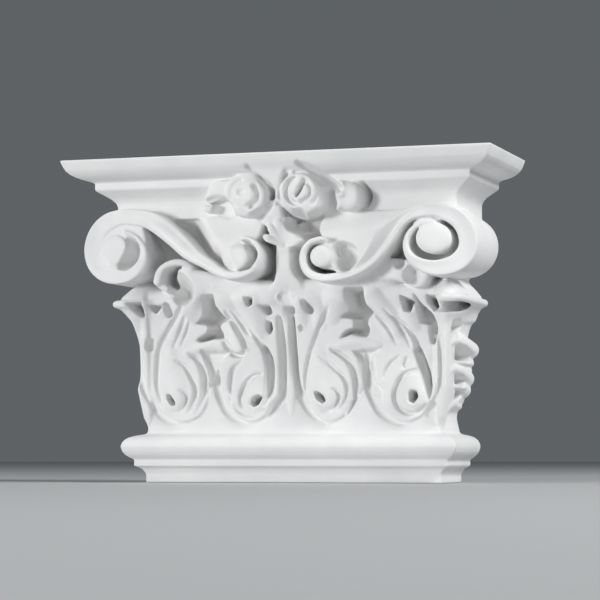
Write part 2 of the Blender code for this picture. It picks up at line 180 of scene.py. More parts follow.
def along_path(path, across, up, sides=False):
    """Distance from each node of a plane window to a path, and the path's values there.

    The path's first two columns are its place in the plane; the others are
    carried to the nodes from the nearest place on the path. With sides, the
    side of the path comes last: above zero on its left hand.
    """
    a = path[:-1]
    b = path[1:]
    px = across[:, None, None]
    pz = up[None, :, None]
    run = b[:, :2] - a[:, :2]
    length = np.maximum((run**2).sum(1), 1e-9)
    t = np.clip(((px - a[:, 0]) * run[:, 0] + (pz - a[:, 1]) * run[:, 1]) / length, 0.0, 1.0)
    gap = np.hypot(px - a[:, 0] - run[:, 0] * t, pz - a[:, 1] - run[:, 1] * t)
    nearest = gap.argmin(axis=2)
    pick = np.take_along_axis
    here = pick(t, nearest[:, :, None], 2)[:, :, 0]
    gap = pick(gap, nearest[:, :, None], 2)[:, :, 0]
    values = [a[nearest, c] + (b[nearest, c] - a[nearest, c]) * here for c in range(2, path.shape[1])]
    if not sides:
        return gap, values
    east = across[:, None] - a[nearest, 0]
    north = up[None, :] - a[nearest, 1]
    turn = np.sign(run[nearest, 0] * north - run[nearest, 1] * east)
    return gap, values, turn


def plane_window(path, margin, across_axis, up_axis):
    """The part of a plane lattice that a path with this margin can touch."""
    low = path[:, :2].min(axis=0) - margin
    high = path[:, :2].max(axis=0) + margin
    return window(across_axis, low[0], high[0]), window(up_axis, low[1], high[1])


def outline_distance(outline, across, up):
    """Distance from each node of a plane window to a closed outline, below zero inside."""
    x = across[:, None]
    z = up[None, :].astype(np.float64)
    gap = np.full((len(across), len(up)), 1e9)
    inside = np.zeros(gap.shape, dtype=bool)
    corners = list(outline) + [outline[0]]
    for (x0, z0), (x1, z1) in zip(corners, corners[1:]):
        run, rise = x1 - x0, z1 - z0
        t = np.clip(((x - x0) * run + (z - z0) * rise) / (run * run + rise * rise), 0.0, 1.0)
        gap = np.minimum(gap, np.hypot(x - x0 - run * t, z - z0 - rise * t))
        inside ^= ((z0 > z) != (z1 > z)) & (x < x0 + run * (z - z0) / (rise if rise else 1e-9))
    return np.where(inside, -gap, gap)


def moulded_body():
    """Field of the mouldings, mitred round the front and both returns, flat at the wall."""
    projections = np.arange(-SHAFT_HALF - 4.0, ABACUS_REACH + 5.0, STEP)
    table = outline_distance(PROFILE, projections, ZS).astype(np.float32)
    outset = np.maximum(np.abs(XS)[:, None] - SHAFT_HALF, DS[None, :] - SHAFT_DEPTH)
    field = from_table(table, projections, outset)
    return np.maximum(field, -DS[None, :, None])


def from_table(table, projections, outset):
    """Columns of a table over projection, at each node's own projection."""
    place = np.clip((outset - projections[0]) / STEP, 0, len(projections) - 1.001)
    below = place.astype(int)
    share = (place - below).astype(table.dtype)[:, :, None]
    return table[below] * (1 - share) + table[below + 1] * share


# Leaf band. Rows of the lists below are (x, z, half width, value): a level
# above the shaft's face for plates, bumps and holes, a depth for grooves.
LEAF_PLATES = [
    [(-93, 70, 21, 4), (-96, 82, 31, 4.2), (-98, 95, 34, 4.4), (-98, 112, 35, 4.8),
     (-98, 148, 35, 7.5)],
    [(-34, 67, 18, 4), (-33, 76, 25.5, 4.2), (-33, 88, 28, 4.4), (-33, 104, 30, 4.8),
     (-33, 148, 31, 7.5)],
    [(33, 67, 18, 4), (34, 76, 25.5, 4.2), (34, 88, 27.5, 4.4), (34, 104, 29, 4.8), (34, 148, 30, 7.5)],
    [(97, 68, 19.5, 4), (99, 78, 27, 4.2), (99, 90, 30, 4.4), (98, 104, 33, 4.8), (98, 148, 34, 7.5)],
]
LEAF_BUMPS = [
    # ribs between the pairs and at the corners
    [(0.5, 56, 2.5, 1), (0, 71, 4, 4.5), (-1, 90, 4.5, 5.5), (-1, 108, 4.5, 6), (-3, 132, 4.5, 7),
     (-14, 148, 7, 9)],
    [(-134, 58, 4, 3), (-134, 80, 4.5, 4.5), (-134, 110, 4.5, 5.5), (-133, 146, 6, 8)],
    [(133, 50, 4, 2), (133, 66, 4.5, 4.5), (133, 90, 4.5, 5.5), (133, 110, 4.5, 6), (133, 146, 6, 8)],
    # drops round the drilled eyes
    [(-104, 108, 6, 6.5), (-104, 92, 9, 7.5), (-102, 78, 11, 8.5), (-101, 68, 9, 8.5)],
    [(-30, 82, 9, 8), (-29, 71, 12, 9.5)],
    [(24, 106, 7, 6.5), (25, 90, 10, 7.5), (27, 76, 12, 8.5), (27, 68, 10, 8.5)],
    [(103, 84, 9, 8), (104, 71, 12.5, 9.5)],
    # saddles that join each pair
    [(-88, 107, 5, 7), (-76, 112, 5, 8), (-64, 114, 5, 8.5), (-50, 111, 5, 8)],
    [(36, 109, 5, 7), (48, 113, 5, 8), (60, 114, 5, 8.5), (74, 110, 5, 8)],
    # leaf tips that lean out at the top of the band
    [(-99, 130, 12, 7.5), (-90, 144, 12, 11), (-84, 152, 10, 13)],
    [(-57, 146, 9, 12), (-49, 134, 9, 10), (-44, 120, 8, 10), (-42, 112, 7, 10)],
    [(-30, 120, 9, 8), (-30, 136, 10, 10), (-34, 150, 9, 12.5)],
    [(37, 136, 8, 10), (42, 148, 9, 13), (41, 154, 7, 13)],
    [(10, 128, 6, 8), (11, 140, 6.5, 10.5), (11, 147, 3, 11)],
    [(22, 148, 6, 11), (27, 142, 6, 10), (26, 128, 6, 8.5)],
    [(71, 150, 8, 13), (80, 138, 9, 11), (88, 124, 9, 9)],
    [(104, 128, 8, 8.5), (100, 136, 6, 9.5)],
    [(-124, 132, 7, 6.5), (-126, 146, 6, 9)],
]
LEAF_GROOVES = [
    # first leaf
    [(-130, 134, 3.4, 3), (-131, 110, 3.6, 4), (-130, 91, 3.6, 4.5), (-128, 80, 3.6, 4.5),
     (-124, 68, 3.4, 4), (-117, 58, 3.2, 3.5), (-109, 52, 3, 3), (-103, 50, 2.5, 1.5)],
    [(-88, 147, 2, 2), (-96, 137, 2.8, 3.5), (-103, 128, 2.8, 3.5), (-109, 119, 3, 3),
     (-114, 108, 3.2, 3), (-116, 90, 3.2, 3.5), (-115, 78, 2.8, 2.5), (-111, 68, 2, 1)],
    [(-89, 136, 1.6, 1), (-94, 126, 2, 2.4), (-101, 112, 1.6, 1.2)],
    [(-86, 131, 1.4, 0.8), (-89, 124, 1.8, 2), (-94, 113, 1.4, 1)],
    [(-87, 106, 2, 1.5), (-81, 101, 2.8, 4), (-76, 92, 3.2, 5), (-74.5, 82, 3.2, 5),
     (-75.5, 70, 2.8, 3.5), (-81, 57, 2, 1)],
    [(-99, 100, 1.6, 1), (-92, 96, 2.4, 2.6), (-87, 88, 2.8, 3.6), (-83, 79, 2.8, 3.8),
     (-83, 70, 2.6, 3.4), (-88, 58, 1.8, 1.2)],
    [(-95, 76, 1.4, 1), (-91, 72, 2.2, 2.8), (-91, 66, 2.2, 2.8), (-95, 59, 1.6, 1.4)],
    # second leaf
    [(-75, 107.5, 2.4, 2.5), (-70.5, 99, 3.6, 5), (-66.5, 88.4, 3.8, 5.5), (-64.5, 80, 3.8, 5.5),
     (-61.8, 70.3, 3.8, 5), (-57.8, 61.2, 3.6, 4.5), (-52.3, 55.2, 3, 3.6), (-45.5, 51.3, 2.4, 2.4),
     (-40.5, 50, 2, 1.2)],
    [(-42, 98, 2, 1.4), (-49, 92, 2.8, 3), (-51, 82, 3, 3.4), (-51, 70, 2.4, 2)],
    [(-25, 88, 2, 2.6), (-32, 86, 2.4, 3.4), (-39, 79, 2.6, 3.8), (-42, 71, 2.4, 3.2),
     (-41, 63, 1.8, 1.6)],
    [(-36, 129, 1.4, 0.8), (-28, 119, 2, 2.4), (-22, 108, 2.6, 3.6)],
    [(-22, 110, 2.8, 5), (-18, 99, 4, 8), (-17, 86, 4, 8), (-18, 74, 3.4, 5.5), (-21, 64, 2.2, 2)],
    [(-8, 134, 2.6, 4), (-7, 118, 3.4, 6), (-6, 104, 3.8, 6.5), (-6, 88, 3.8, 6.5), (-7, 74, 3.6, 6),
     (-11, 63, 3.2, 4.5), (-19, 54, 2.4, 2)],
    [(-52, 140, 1.8, 1.5), (-46, 128, 2.4, 4.5), (-40, 118, 2.4, 4.5), (-37, 111, 2, 3)],
    [(-47, 140, 1.2, 0.8), (-39, 128, 1.6, 1.8), (-33, 120, 1.2, 1)],
    [(-56, 114, 1.6, 3), (-50, 106, 2.4, 4.5), (-42, 104, 2.2, 4), (-38, 107, 1.6, 2)],
    [(-48, 62, 1.6, 1), (-40, 56, 1.8, 1.2), (-30, 54, 1.6, 0.8)],
    # third leaf
    [(3, 134, 2.6, 4.5), (3, 116, 3.2, 6), (4, 100, 3.4, 6), (5, 86, 3.4, 6), (8, 72, 3.4, 5.5),
     (13, 62, 3.2, 4.5), (20, 54, 2.8, 3.4), (29, 49, 2, 1.5)],
    [(36, 142, 1.6, 1.4), (30, 132, 2.4, 3.4), (24, 121, 2.4, 3), (19, 108, 2.6, 2.8),
     (15, 94, 2.6, 3), (14, 82, 2.2, 2), (15, 72, 1.4, 0.8)],
    [(26, 102, 1.6, 1), (38, 92, 2.2, 2.4), (45, 86, 2.8, 3.6), (48, 78, 2.8, 3.8), (47, 68, 2.4, 3),
     (42, 59, 1.8, 1.4)],
    [(36, 108, 1.8, 2), (45, 102, 2.6, 4.4), (51.5, 95, 3, 5.2), (55, 82, 3.2, 5.4),
     (54, 69, 2.8, 4.4), (48, 57, 2.2, 2)],
    [(37, 76, 1.6, 1.4), (41, 71, 2.4, 3.2), (40, 65, 2.4, 3.2), (35, 59, 1.8, 1.6)],
    # fourth leaf
    [(61.5, 104, 3.4, 5), (62.6, 92, 3.8, 5.5), (63.8, 82, 3.8, 5.2), (67.6, 70, 3.6, 4.8),
     (75, 58, 3.4, 4.2), (86, 50.4, 2.8, 3), (95, 48, 2, 1.4)],
    [(71, 106, 2, 1), (70, 96, 3, 1.8), (73, 84, 2.6, 1.2)],
    [(92, 101, 1.6, 1.2), (83, 93, 2.2, 2.6), (80, 86, 1.8, 1.4)],
    [(107, 90, 2, 2.6), (99, 88, 2.4, 3.4), (92, 82, 2.6, 3.8), (88, 73, 2.6, 3.8),
     (90, 64, 2.4, 3.2), (97, 57, 2.2, 2.8), (107, 56, 2, 2.2), (114, 62, 1.6, 1.4)],
    [(99, 99, 2.6, 2), (97, 94, 2.6, 2.2)],
    [(71, 141, 1.6, 1.2), (80, 130, 2.4, 3.6), (87, 120, 2.2, 3), (90, 112, 1.4, 1)],
    [(83, 139, 1.4, 0.8), (92, 128, 1.8, 2.2), (99, 116, 1.8, 2), (102, 108, 1.4, 1)],
    [(89, 133, 1.6, 1.4), (98, 126, 2.2, 3.4), (105, 117, 2.6, 4.2), (108, 108, 2.8, 5)],
    [(107, 106, 3.4, 7), (111, 96, 4.2, 8.5), (115, 86, 3.6, 7.5), (117, 76, 3, 5), (117, 68, 2, 2)],
    [(127, 116, 2.2, 1.6), (127, 104, 2.8, 3.6), (127, 88, 3, 4), (126, 76, 2.8, 3.6),
     (122, 64, 2.6, 3), (115, 55, 2, 1.6)],
]
LEAF_HOLES = [
    # drilled hollows under the leaf tips
    [(-105, 145, 1.6, 1), (-103.5, 139, 2.2, -1)],
    [(-121.5, 112, 3, -1), (-121, 117, 2.2, 0)],
    [(10.5, 126, 1.6, 2), (10.5, 124.5, 1.4, 2)],
    [(-2, 150, 3, 0), (2, 147, 2.6, -2), (3, 140, 2, -3)],
    [(16, 146, 1.8, 1), (19, 140, 2.4, 0)],
]
# Openings cut through the leaves: depth of the floor, then the outline in (x, z)
LEAF_VOIDS = [
    # T shaped, between the leaves of each pair
    (
        48,
        [(-69.5, 152), (-62.5, 152.5), (-61.3, 144), (-57.5, 139), (-54.8, 135.6), (-50, 133.1),
         (-56, 131), (-59.2, 129), (-59.2, 126.6), (-56.6, 121.7), (-56, 117.4), (-64.1, 117.6),
         (-71.1, 116), (-76, 114.8), (-82.5, 116.6), (-77, 120.2), (-71.8, 123), (-70, 126.8),
         (-71, 129), (-75, 129.8), (-81.5, 130.4), (-76.3, 134.5), (-73.6, 137.5), (-72.6, 143.3)],
    ),
    (
        48,
        [(51.2, 156), (65, 156), (65.8, 148.7), (66.6, 143.9), (69.2, 140.2), (72.8, 137.3),
         (70, 133.8), (67.5, 131.6), (66.8, 127.7), (68.6, 124.5), (68.4, 120.8), (66.1, 117.2),
         (59.4, 118), (52.6, 119.8), (48.2, 118), (42, 115.4), (46.2, 121.4), (50.6, 124.2),
         (55.2, 125.4), (55.2, 131.2), (51.4, 132.7), (44.4, 133.2), (48.6, 136.7), (52, 138.6),
         (53.6, 142.5), (52, 149)],
    ),
    # deep part of the grooves behind two drops
    (50, [(-22.6, 110.4), (-18.2, 110), (-14, 102.3), (-13.4, 88), (-17.6, 86.6), (-19.2, 98.3)]),
    (50, [(107.2, 107.6), (111.8, 108), (115.8, 98.2), (119.2, 88.6), (120, 78), (116.2, 73),
          (113.8, 83.9), (110.6, 93.5)]),
    # drilled eyes
    (52, [(-106.4, 73.2), (-102.4, 72.6), (-98.2, 66.2), (-98.6, 62.3), (-103.4, 63.2),
          (-106.4, 67.9)]),
    (50, [(-25.2, 72.2), (-22.2, 69.6), (-25.4, 63.6), (-30.8, 61), (-33.9, 64), (-30.8, 69.6)]),
    (52, [(21, 73.7), (25.2, 74.5), (30.4, 70.4), (32.1, 66), (28.4, 63.4), (23.1, 67.2)]),
    (50, [(103.2, 74.8), (108, 73.9), (109.4, 68.8), (105.4, 63.6), (100.9, 65.6), (101, 71.5)]),
    # drilled below the tip of the second leaf
    (60, [(-35, 151), (-27.2, 150.8), (-28.1, 144.9), (-32, 142.3), (-34.4, 145.2)]),
    (60, [(-24.4, 145.2), (-13.6, 145), (-11.8, 137.6), (-17.5, 134), (-21.6, 138.8)]),
    # drilled beside the right leaf's tip and down its edge
    (52, [(95.6, 150.2), (107.5, 145.6), (103.5, 136.1), (98, 137.4)]),
    (50, [(118, 149.8), (124.2, 148), (126.8, 140.4), (123.7, 136.6), (118.6, 143.6)]),
    (50, [(107.3, 151), (113, 142.9), (118, 138.6), (122.6, 134), (125.1, 128.2), (126, 121.7),
          (123.2, 110.5), (119, 110.5), (117.3, 119.5), (117.3, 126), (110.8, 127.6), (109, 135.6)]),
    # small and dark beside the middle rib
    (50, [(-19.2, 132.4), (-14.8, 131.4), (-13.6, 125), (-16.6, 119.4), (-20.2, 124)]),
]
# Soft hollows under the saddles, running down into the V between the leaves
LEAF_SHADES = [
    [(-76, 108.2), (-49, 107.6), (-55, 102.6), (-60, 97), (-65, 90), (-69, 90), (-71, 96),
     (-73.5, 102)],
    [(53, 107.3), (78, 108), (71.5, 102.5), (68, 97), (66.5, 89.5), (65.5, 81), (60, 81),
     (59.5, 92.5), (56.4, 101)],
]
SHADE_FLOOR = 60.0
# Openings in the side of the corner leaf, in (d, z), and their depth from the shaft's side
SIDE_VOIDS = [
    [(63, 130), (44, 132), (29, 127), (35, 118.5), (45.5, 116), (61, 120)],
    [(41, 113), (24, 111), (9, 105), (10, 98.5), (26, 98), (40, 100)],
    [(43, 88.5), (26, 88), (12, 83), (22, 77.5), (39, 78.5)],
    [(35, 76.5), (14, 76), (12, 71), (22, 66), (36, 66.5)],
]
SIDE_VOID_DEPTH = 9.0
# How far the leaves lean out at the top, how far the ground between them stands
# back from the shaft's face, and how far a plate's edge falls
LEAF_FLARE = 6.0
GROUND_SET_BACK = 7.0
PLATE_EDGE = 14.0
BAND_LOW = 41.0
BAND_HIGH = 172.0


def leaf_relief():
    """Height of the leaf band's front above the shaft's face, over x and z."""
    ups = window(ZS, BAND_LOW, BAND_HIGH)
    zs = ZS[ups]
    relief = np.zeros((len(XS), len(zs)), dtype=np.float64)
    relief -= GROUND_SET_BACK * ramp(zs, 66.0, 100.0)[None, :]
    for rows in LEAF_PLATES:
        path = curve(rows)
        across, up = plane_window(path, 45.0, XS, zs)
        gap, (half, level) = along_path(path, XS[across], zs[up])
        plate = level - PLATE_EDGE * ramp(gap, half - 2.0, half + 3.5)
        relief[across, up] = smooth_max(relief[across, up], plate, 1.5)
    inward = 1.0 - ramp(np.abs(XS), 116.0, 124.0)
    corner = np.interp(zs, *CORNER_REACH)[None, :] - PLATE_EDGE * inward[:, None]
    relief = smooth_max(relief, corner, 1.5)
    raise_relief(relief, LEAF_BUMPS, XS, zs)
    relief += LEAF_FLARE * ramp(zs, 126.0, 154.0)[None, :]
    cut_relief(relief, LEAF_GROOVES, LEAF_HOLES, XS, zs)
    return ups, zs, relief


# Side of the corner leaf, rows of (d, z, half width, value) as for the front
SIDE_BUMPS = [
    [(58, 133, 4, 10.5), (40, 136, 5, 12), (22, 137, 8, 14), (4, 138, 9, 15.5)],
    [(58, 112, 4, 9), (44, 115, 4.5, 10.5), (24, 113, 7, 13), (4, 108.5, 6, 17.5)],
    [(24, 98, 5, 10), (4, 97, 8, 13)],
    [(58, 90, 4, 8.5), (44, 92, 4, 9.5), (24, 90, 5, 11), (4, 85, 6, 13.4)],
    [(44, 77.5, 2, 8), (26, 78, 4, 9), (4, 76, 6, 10.5)],
    [(54, 60, 4, 5.5), (36, 64, 4, 5.5), (20, 63, 3, 4), (4, 62, 3, 3)],
]
SIDE_GROOVES = [
    [(58, 138, 1.2, 1), (40, 130, 1.8, 2), (20, 128, 2.4, 3), (2, 129, 2.6, 3)],
    [(52, 103, 1.2, 0.6), (36, 97, 1.6, 1.4), (20, 95, 1.8, 1.6), (2, 94, 2, 1.6)],
]
# Reach of the leaves beyond the shaft at the corner, over z
CORNER_REACH = ([44, 53.5, 66, 76.5, 113, 126, 137.7, 150], [0, 3.7, 5.9, 7.6, 8.2, 9.5, 11.0, 12.0])


def cut_relief(relief, grooves, holes, across_axis, up_axis):
    """Grooves with steep sides, and drilled holes, sunk into a relief."""
    for rows in grooves:
        path = curve(rows)
        across, up = plane_window(path, 9.0, across_axis, up_axis)
        gap, (half, depth) = along_path(path, across_axis[across], up_axis[up])
        relief[across, up] -= 1.5 * depth * (1.0 - ramp(gap / half, 0.2, 1.25))
    for rows in holes:
        path = curve(rows)
        across, up = plane_window(path, 14.0, across_axis, up_axis)
        gap, (half, floor) = along_path(path, across_axis[across], up_axis[up])
        hole = floor + 5.5 * np.maximum(gap - half * 0.9, 0.0)
        relief[across, up] = smooth_min(relief[across, up], hole, 1.4)


def raise_relief(relief, bumps, across_axis, up_axis):
    """Rounded ribs and drops laid on a relief."""
    for rows in bumps:
        path = curve(rows)
        across, up = plane_window(path, 16.0, across_axis, up_axis)
        gap, (half, level) = along_path(path, across_axis[across], up_axis[up])
        crown = np.sqrt(np.clip(1.0 - (gap / (half * 1.25)) ** 2, 0.0, 1.0))
        bump = level - 9.0 * (1.0 - crown) - 2.5 * np.maximum(gap - half * 1.25, 0.0)
        relief[across, up] = smooth_max(relief[across, up], bump, 2.4)


def side_relief(zs):
    """Height of the side leaf beyond the shaft's side, over d and z."""
    relief = np.zeros((len(DS), len(zs)))
    base = np.interp(zs, *CORNER_REACH)
    corner = ramp(DS, SHAFT_DEPTH * 0.5, SHAFT_DEPTH - 6.0)
    relief += base[None, :] * (0.75 + 0.25 * corner[:, None])
    relief -= 6.0 * (1.0 - ramp(zs, 52.0, 70.0))[None, :] * (1.0 - corner[:, None])
    raise_relief(relief, SIDE_BUMPS, DS, zs)
    cut_relief(relief, SIDE_GROOVES, [], DS, zs)
    return relief


def leaf_block(field):
    """Blend the leaf band into the field: relief on the front and on both returns."""
    ups, zs, relief = leaf_relief()
    slope_x, slope_z = np.gradient(relief, STEP)
    steep = np.sqrt(1.0 + slope_x**2 + slope_z**2)
    front = (DS[None, :, None] - SHAFT_DEPTH - relief[:, None, :]) / steep[:, None, :]
    side = side_relief(zs)
    slope_d, slope_z = np.gradient(side, STEP)
    steep = np.sqrt(1.0 + slope_d**2 + slope_z**2)
    flank = (np.abs(XS)[:, None, None] - SHAFT_HALF - side[None, :, :]) / steep[None, :, :]
    block = smooth_max(front, flank, 4.0)
    top = 160.0 - 0.25 * (DS[None, :, None] - SHAFT_DEPTH)
    block = smooth_max(block, (zs[None, None, :] - top) * 0.95, 8.0)
    block = np.maximum(block, BASE_TOP - 1.0 - zs[None, None, :])
    block = np.maximum(block, -DS[None, :, None]).astype(np.float32)
    field[:, :, ups] = smooth_min(field[:, :, ups], block, 2.5)


def blend_ridge(field, rows, back, edge=3.0, fillet=3.0, mirrored=False):
    """A carved band along rows of (x, z, half width, front depth), blended in.

    Its front is cut at the front depth with edges rounded by edge, its foot
    meets what is behind it with a fillet, and it runs back to the depth back.
    """
    path = curve(rows)
    if mirrored:
        path[:, 0] *= -1.0
    margin = float(path[:, 2].max()) + fillet + edge + 2.0
    across, up = plane_window(path, margin, XS, ZS)
    gap, (half, front) = along_path(path, XS[across], ZS[up])
    out = window(DS, back - 2.0, float(front.max()) + fillet + 2.0)
    ds = DS[out][None, :, None]
    ridge = smooth_max((gap - half)[:, None, :], (ds - front[:, None, :]), edge)
    ridge = np.maximum(ridge, back - ds).astype(np.float32)
    field[across, out, up] = smooth_min(field[across, out, up], ridge, fillet)


def blend_hollow(field, rows, slope=4.0, edge=1.5, mirrored=False):
    """A hollow along rows of (x, z, half width, depth of its floor), cut in from the front."""
    path = curve(rows)
    if mirrored:
        path[:, 0] *= -1.0
    across, up = plane_window(path, float(path[:, 2].max()) + 60.0 / slope, XS, ZS)
    gap, (half, floor) = along_path(path, XS[across], ZS[up])
    out = window(DS, float(floor.min()) - 6.0, DEPTH + 4.0)
    wall = floor + slope * np.maximum(gap - half, 0.0)
    cut = (DS[out][None, :, None] - wall[:, None, :]) / math.hypot(1.0, slope * 0.5)
    cut = cut.astype(np.float32)
    field[across, out, up] = smooth_max(field[across, out, up], cut, edge)


VOID_SLOPE = 8.0
SHADE_SLOPE = 3.0
# How far inside its outline the floor of an opening ends
FLOOR_INSET = 2.5


def blend_void(field, outline, floor, slope=VOID_SLOPE, edge=1.0):
    """An opening with the given outline, cut in from the front down to the depth floor."""
    across, up = plane_window(np.array(outline), 10.0, XS, ZS)
    away = outline_distance(outline, XS[across], ZS[up]) + FLOOR_INSET
    out = window(DS, floor - 4.0, DEPTH + 4.0)
    wall = floor + slope * np.maximum(away, 0.0)
    cut = (DS[out][None, :, None] - wall[:, None, :]) / np.where(away > 0.0, slope, 1.0)[:, None, :]
    field[across, out, up] = smooth_max(field[across, out, up], cut.astype(np.float32), edge)


def side_void(field, outline):
    """The same from both sides, with the outline in (d, z)."""
    along, up = plane_window(np.array(outline), 10.0, DS, ZS)
    away = outline_distance(outline, DS[along], ZS[up]) + FLOOR_INSET
    wall = SHAFT_HALF - SIDE_VOID_DEPTH + VOID_SLOPE * np.maximum(away, 0.0)
    slope = np.where(away > 0.0, VOID_SLOPE, 1.0)[None, :, :]
    cut = (np.abs(XS)[:, None, None] - wall[None, :, :]) / slope
    field[:, along, up] = smooth_max(field[:, along, up], cut.astype(np.float32), 1.0)


def blend_body(field, outline, level, lean, foot, fall, mirrored=False):
    """A full smooth body inside an outline; towards its foot the front falls away."""
    sign = -1.0 if mirrored else 1.0
    placed = [(sign * x, z) for x, z in outline]
    across, up = plane_window(np.array(placed), 6.0, XS, ZS)
    away = outline_distance(placed, XS[across], ZS[up])
    path = curve(foot)
    path[:, 0] *= sign
    gap, _ = along_path(path, XS[across], ZS[up])
    x = sign * XS[across][:, None]
    front = level + lean[0] * (x - BODY_MIDDLE[0]) + lean[1] * (ZS[up][None, :] - BODY_MIDDLE[1])
    front -= fall * (1.0 - ramp(gap, -4.0, BODY_RISE))
    out = window(DS, 44.0, DEPTH)
    ds = DS[out][None, :, None]
    body = smooth_max(away[:, None, :], (ds - front[:, None, :]) * 0.8, 2.5)
    body = np.maximum(body, STROKE_BACK - ds).astype(np.float32)
    field[across, out, up] = smooth_min(field[across, out, up], body, 2.0)


# Each scroll, as rows of (x, z, half width inside, half width outside, fall of
# the outer edge): in from the boss, once round the volute, down the S and
# round the curl. The left one is given as its mirror image.
SCROLL_RIGHT = [
    (129, 206.5, 1.4, 1.4, 0),
    (119.5, 204.8, 1.6, 1.6, 0),
    (111.5, 198.5, 1.9, 1.9, 0),
    (108, 189.5, 2.1, 2.1, 0),
    (110.5, 180, 3, 3.2, 0),
    (118.5, 172.8, 4.8, 4.8, 0),
    (131, 169.6, 6.2, 6.2, 0),
    (145, 172.8, 7.2, 7.2, 0),
    (153.6, 181, 7.8, 7.8, 0),
    (155.8, 192, 7.8, 8, 0),
    (151.6, 204, 7.4, 7.6, 0),
    (142, 212.2, 6.8, 6.8, 0),
    (129, 214.6, 6, 6.2, 0.4),
    (119, 213.4, 4.4, 6.4, 2),
    (111, 209.8, 3, 7.5, 6),
    (103.8, 203.5, 2.6, 10.5, 12),
    (95.6, 191.9, 2.6, 14.5, 17),
    (88.5, 183, 2.6, 14, 17),
    (80.5, 175.2, 2.6, 12, 16),
    (70, 168.4, 2.6, 9, 13),
    (58.4, 164.4, 2.6, 6, 10),
    (45, 162.4, 2.6, 4.5, 5),
    (34, 163.6, 2.5, 4, 4),
    (26, 168.5, 2.4, 3.4, 2),
    (22.4, 177, 2.2, 2.8, 1),
    (23.6, 186, 2, 2.4, 0),
    (29.5, 192.4, 2, 2.2, 0),
    (38, 194.8, 2, 2.2, 0),
]
SCROLL_LEFT = [
    (134, 206.5, 1.2, 1.2, 3),
    (127, 203.8, 1.6, 1.6, 1),
    (120, 198.6, 1.9, 1.9, 0),
    (115, 190, 2.4, 2.4, 0),
    (117, 180, 3.4, 3.4, 0),
    (124.5, 172.4, 5, 5, 0),
    (137.5, 169.4, 6.2, 6.2, 0),
    (152.5, 172, 7, 7, 0),
    (162.6, 181, 7.6, 7.6, 0),
    (165.4, 194, 7.8, 7.8, 0),
    (160.5, 207, 7.4, 7.4, 0),
    (150, 215.2, 7, 7, 0),
    (136, 217.8, 6.6, 6.8, 0),
    (122, 215.6, 5, 8.5, 1),
    (113, 211.6, 3.4, 11, 3),
    (105, 206.4, 2.6, 12, 6),
    (97, 200.6, 2.6, 11, 9),
    (89, 194.4, 2.6, 10, 10),
    (78, 184.8, 2.6, 8.8, 10),
    (69.5, 180, 2.6, 6.4, 8),
    (61.5, 176.2, 2.6, 5.2, 7),
    (50, 169.6, 2.6, 5, 6),
    (40, 166.4, 2.6, 4.4, 5),
    (29, 167, 2.4, 3.6, 3),
    (19.5, 171.4, 2.2, 2.8, 1),
    (15.4, 179, 2, 2.2, 0),
    (15.6, 187.5, 2, 2.2, 0),
    (20.5, 194, 2, 2.2, 0),
    (29, 197, 2, 2.2, 0),
]
# Middle of each volute's ring, radius of its roll, middle and half widths of its
# boss, and how deep its eye is sunk
VOLUTES = [
    (False, SCROLL_RIGHT, (133.6, 193.2), 25.2, (129.2, 193.2), (13.4, 12.4), 24.0),
    (True, SCROLL_LEFT, (141.6, 193.4), 26.6, (143.6, 190.6), (13.6, 12.6), 3.5),
]
# Shallow top of the right eye, and the crescent beside the left boss
RIGHT_EYE_CAP = [(115, 204.5, 2.0, 99), (123, 207.5, 2.6, 97.5), (132, 207.6, 2.0, 94)]
LEFT_EYE_CRESCENT = [
    (131, 200, 0.8, 90),
    (126.5, 194, 1.8, 80),
    (127, 186, 2.2, 78),
    (133, 179.5, 1.8, 80),
    (139, 177, 0.8, 88),
]
# Each curl: mirrored, middle and radius of its boss, fillet at the boss's foot,
# and rows of the hollow beside it
CURLS = [
    (
        False,
        (37.2, 181),
        9.4,
        1.2,
        [(52.5, 186, 5, 80), (57, 182, 6, 78), (54, 176.5, 5, 78)],
    ),
    (
        True,
        (31.8, 183),
        9,
        5,
        [(24.6, 190.5, 0.5, 86), (22.4, 183.5, 1, 78), (24.4, 176.5, 0.5, 86)],
    ),
]
# Full bodies between the S, the curl and the band above: mirrored, outline,
# level in the middle, lean along x and z, foot along the S, fall at the foot
BODIES = [
    (
        False,
        [(116, 213), (101.9, 211.4), (87.8, 204.7), (82, 199.3), (77.9, 192.2), (73.7, 185.2),
         (68.7, 179.7), (62.1, 174.3), (50, 168), (44, 176), (47.9, 190), (37, 192), (31.2, 202.4),
         (31, 210), (35, 217.4), (116, 217.4)],
        92,
        (0.2, -0.05),
        [(30, 218), (70, 218), (120, 218)],
        8.5,
    ),
    (
        True,
        [(104, 217.4), (92, 210), (78, 199), (68, 185.2), (54, 175.7), (34.7, 172), (28, 178),
         (27, 188), (22, 193), (16, 200), (14, 208), (14, 217.4)],
        91,
        (-0.12, -0.24),
        [(99.6, 217), (84.7, 207.8), (73.3, 193.5), (66, 184.2), (52, 176)],
        26,
    ),
]
BODY_MIDDLE = (57.0, 196.0)
BODY_RISE = 19.0
# Share of the fall across the fluted side of the right S, from its crest outwards
FLUTE = ([0.1, 0.22, 0.34, 0.5, 1.0], [0.0, 0.55, 0.95, 1.0, 0.5])
VOLUTE_FACE = 105.0
VOLUTE_BEND = 106.0
VOLUTE_TURN = 0.27


def scroll_face(x):
    """Depth of the scroll's face: level in the middle, turned away outside."""
    return VOLUTE_FACE - np.maximum(x - VOLUTE_BEND, 0.0) * VOLUTE_TURN


